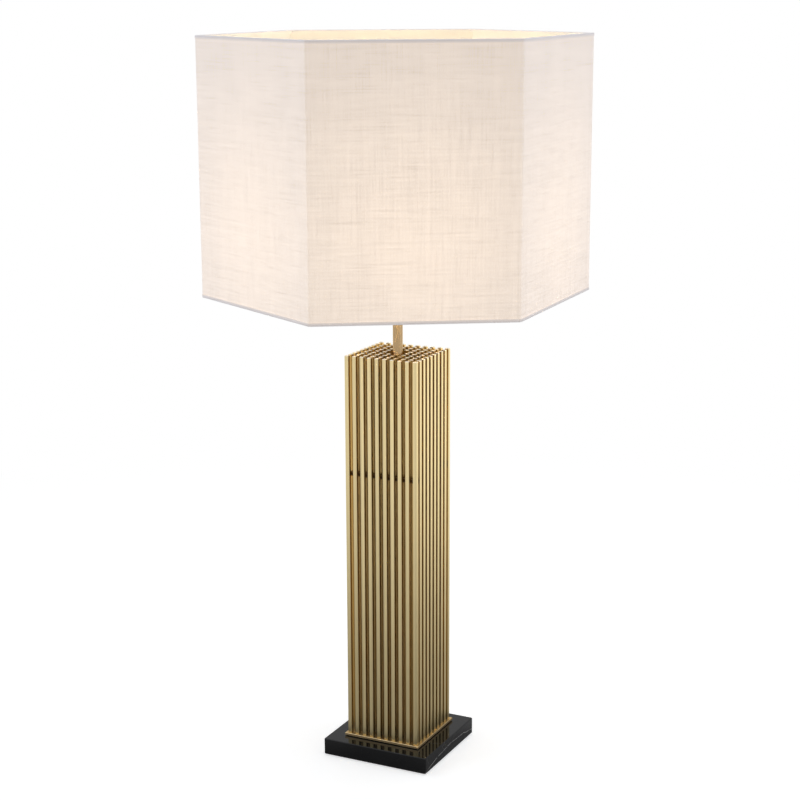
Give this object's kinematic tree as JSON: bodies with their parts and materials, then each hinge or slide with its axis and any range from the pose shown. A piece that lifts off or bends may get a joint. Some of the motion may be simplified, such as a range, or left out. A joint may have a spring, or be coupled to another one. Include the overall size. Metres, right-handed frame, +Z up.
{
  "type": "column table lamp",
  "caption": "Table lamp: a square column of brass rods on a polished stone base, with a six-sided linen shade on a lampholder.",
  "frame": {"origin": "centre of the underside of the felt, on the surface that the lamp stands on", "axes": "+Z up along the centre tube; -Y is the front face of the column; +X is its right face, on the side of the switch knob"},
  "size_m": [0.4094, 0.464, 0.8805],
  "materials": {
    "felt": "pressed black felt",
    "stone": "polished black stone with a thin pale vein",
    "rubber": "moulded black rubber",
    "gasket": "thin black sheet",
    "plate_brass": "satin brass",
    "rod_brass": "satin brushed brass",
    "strip_brass": "brass, darkened by soldering",
    "nut_brass": "bright brass",
    "tube_brass": "satin brass",
    "zinc_steel": "zinc plated",
    "holder_black": "black thermoset",
    "holder_ceramic": "unglazed white ceramic",
    "contact_brass": "bright brass",
    "knob_black": "black, fluted",
    "frame_white": "white powder coat",
    "shade_lining": "white lining card, lit from inside",
    "linen": "plain-woven natural linen, lit from inside",
    "rim_tape": "grey-white cotton tape",
    "bulb_black": "black glass insulator",
    "bulb_cap_metal": "rolled thread cap",
    "bulb_glass": "clear glass",
    "stem_glass": "clear glass",
    "lead_wire": "nickel wire",
    "filament": "glowing coil"
  },
  "bodies": {
    "stand": {"base_felt": "felt", "stone_base": "stone", "cable_bush": "rubber", "base_washer": "zinc_steel", "base_nut": "zinc_steel", "plate_gasket": "gasket", "bottom_plate": "plate_brass", "rod_row_01": "rod_brass", "rod_row_02": "rod_brass", "rod_row_03": "rod_brass", "rod_row_04": "rod_brass", "rod_row_05": "rod_brass", "rod_row_06": "rod_brass", "rod_row_07": "rod_brass", "rod_row_08": "rod_brass", "rod_row_09": "rod_brass", "rod_row_10": "rod_brass", "spacer_strips": "strip_brass", "column_washer": "zinc_steel", "column_nut": "nut_brass", "threaded_pipe": "zinc_steel", "centre_tube": "tube_brass", "holder_washer": "zinc_steel", "holder_cap": "holder_black", "holder_insert": "holder_ceramic", "contact_tongue": "contact_brass", "terminal_screws": "contact_brass", "screw_shell": "contact_brass", "holder_sleeve": "holder_black"},
    "switch": {"switch_spindle": "zinc_steel", "switch_knob": "knob_black"},
    "shade": {"fitter_ring": "frame_white", "shade_spoke_1": "frame_white", "shade_spoke_2": "frame_white", "shade_spoke_3": "frame_white", "lower_frame": "frame_white", "upper_frame": "frame_white", "shade_panel_1": "shade_lining", "shade_panel_2": "shade_lining", "shade_panel_3": "shade_lining", "shade_panel_4": "shade_lining", "shade_panel_5": "shade_lining", "shade_panel_6": "shade_lining", "linen_cover": "linen", "upper_rim_tape": "rim_tape", "lower_rim_tape": "rim_tape"},
    "shade_ring": {"retaining_ring": "holder_black"},
    "bulb": {"bulb_contact": "contact_brass", "bulb_insulator": "bulb_black", "bulb_cap": "bulb_cap_metal", "bulb_glass": "bulb_glass", "bulb_stem": "stem_glass", "bulb_leads": "lead_wire", "bulb_filament": "filament"}
  },
  "joints": [
    {"name": "switch_turn", "type": "hinge", "parent": "stand", "child": "switch", "pos_m": [0.024, 0, 0.5695], "axis": [1, 0, 0], "continuous": true},
    {"name": "shade_turn", "type": "hinge", "parent": "stand", "child": "shade", "pos_m": [0, 0, 0.5948], "axis": [0, 0, 1], "continuous": true},
    {"name": "shade_ring_turn", "type": "hinge", "parent": "stand", "child": "shade_ring", "pos_m": [0, 0, 0.6], "axis": [0, 0, 1], "range_deg": [0, 1080]},
    {"name": "bulb_turn", "type": "hinge", "parent": "stand", "child": "bulb", "pos_m": [0, 0, 0.6], "axis": [0, 0, 1], "range_deg": [0, 1080]}
  ]
}
